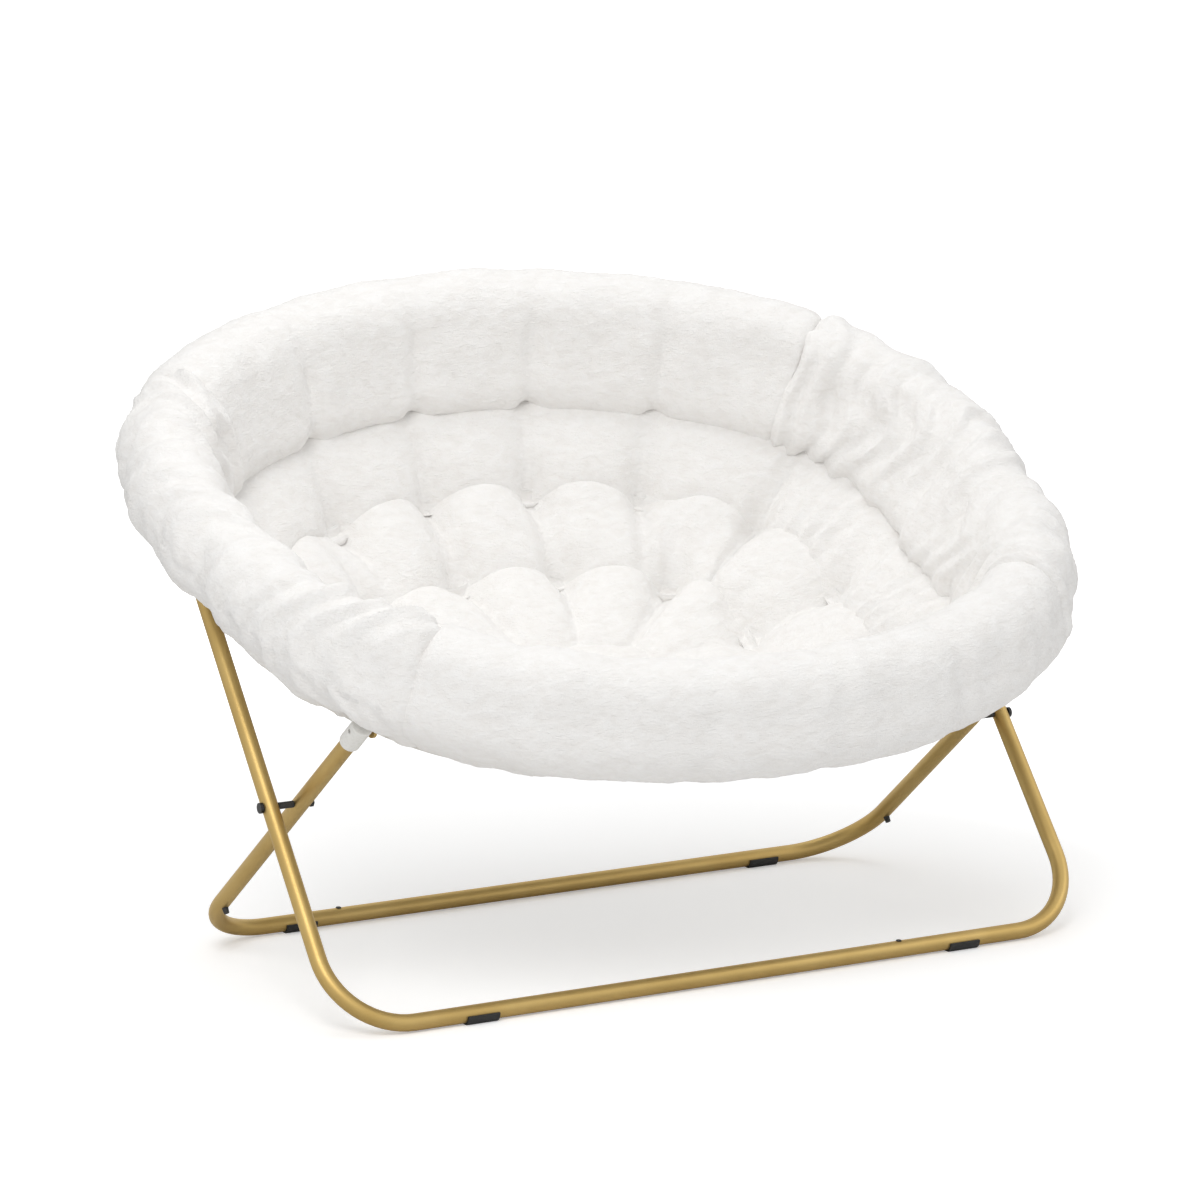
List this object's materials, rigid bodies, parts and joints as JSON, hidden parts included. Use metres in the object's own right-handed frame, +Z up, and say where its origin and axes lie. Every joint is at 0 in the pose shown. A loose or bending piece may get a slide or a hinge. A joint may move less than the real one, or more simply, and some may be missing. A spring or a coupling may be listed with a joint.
{
  "type": "folding saucer chair",
  "caption": "Folding two-seat saucer chair: a padded, tufted oval bowl on a hinged rim, carried by two crossing tube legs that fold flat.",
  "frame": {"origin": "on the floor, under the middle of the chair's bounding box, with the chair open", "axes": "+X across the seat to the sitter's left, +Y towards the back of the chair, +Z up"},
  "size_m": [1.276, 1.0277, 0.8335],
  "materials": {
    "gold_tube": "satin",
    "faux_fur": "short soft pile",
    "sling_fabric": "matte woven",
    "black_rubber": "matte",
    "white_nylon": "satin",
    "black_steel": "satin black"
  },
  "bodies": {
    "front_frame": {"front_leg_tube": "gold_tube", "front_floor_pads": "black_rubber", "front_bar_plug": "black_rubber", "back_pivot_collars": "white_nylon", "cross_bolts": "black_steel", "cross_nuts": "black_steel", "cross_spacers": "black_rubber", "back_pivot_bolts": "black_steel", "back_pivot_nuts": "black_steel"},
    "rear_frame": {"rear_leg_tube": "gold_tube", "rear_floor_pads": "black_rubber", "rear_bar_plug": "black_rubber", "front_pivot_collars": "white_nylon", "rear_leg_bumpers": "black_rubber"},
    "rear_hoop": {"back_rim_tube": "gold_tube", "back_rim_tabs": "gold_tube", "rim_hinge_bolts": "black_steel", "rim_hinge_nuts": "black_steel", "rim_hinge_spacers": "black_steel", "rim_roll_back": "faux_fur", "rim_sleeve_left": "faux_fur", "rim_sleeve_right": "faux_fur", "upper_row_back": "faux_fur", "lower_row_back": "faux_fur", "seat_pad_back": "faux_fur", "sling_back": "sling_fabric"},
    "front_hoop": {"front_rim_tube": "gold_tube", "front_rim_tabs": "gold_tube", "front_pivot_bolts": "black_steel", "rim_roll_front": "faux_fur", "upper_row_front": "faux_fur", "lower_row_front": "faux_fur", "seat_pad_front": "faux_fur", "sling_front": "sling_fabric"}
  },
  "joints": [
    {"name": "leg_fold", "type": "hinge", "parent": "front_frame", "child": "rear_frame", "pos_m": [0, -0.10053, 0.2585], "axis": [-1, 0, 0], "range_deg": [0, 70]},
    {"name": "back_rim_fold", "type": "hinge", "parent": "front_frame", "child": "rear_hoop", "pos_m": [0, 0.16589, 0.58392], "axis": [1, 0, 0], "range_deg": [0, 41.98]},
    {"name": "front_rim_fold", "type": "hinge", "parent": "rear_hoop", "child": "front_hoop", "pos_m": [0, -0.12168, 0.46742], "axis": [-1, 0, 0], "range_deg": [0, 138.31], "deforming": ["rim_sleeve_left", "rim_sleeve_right"]}
  ],
  "couplings": [
    {"joint": "back_rim_fold", "follows": "leg_fold", "ratio": 0.5998},
    {"joint": "front_rim_fold", "follows": "leg_fold", "ratio": 1.9758}
  ]
}
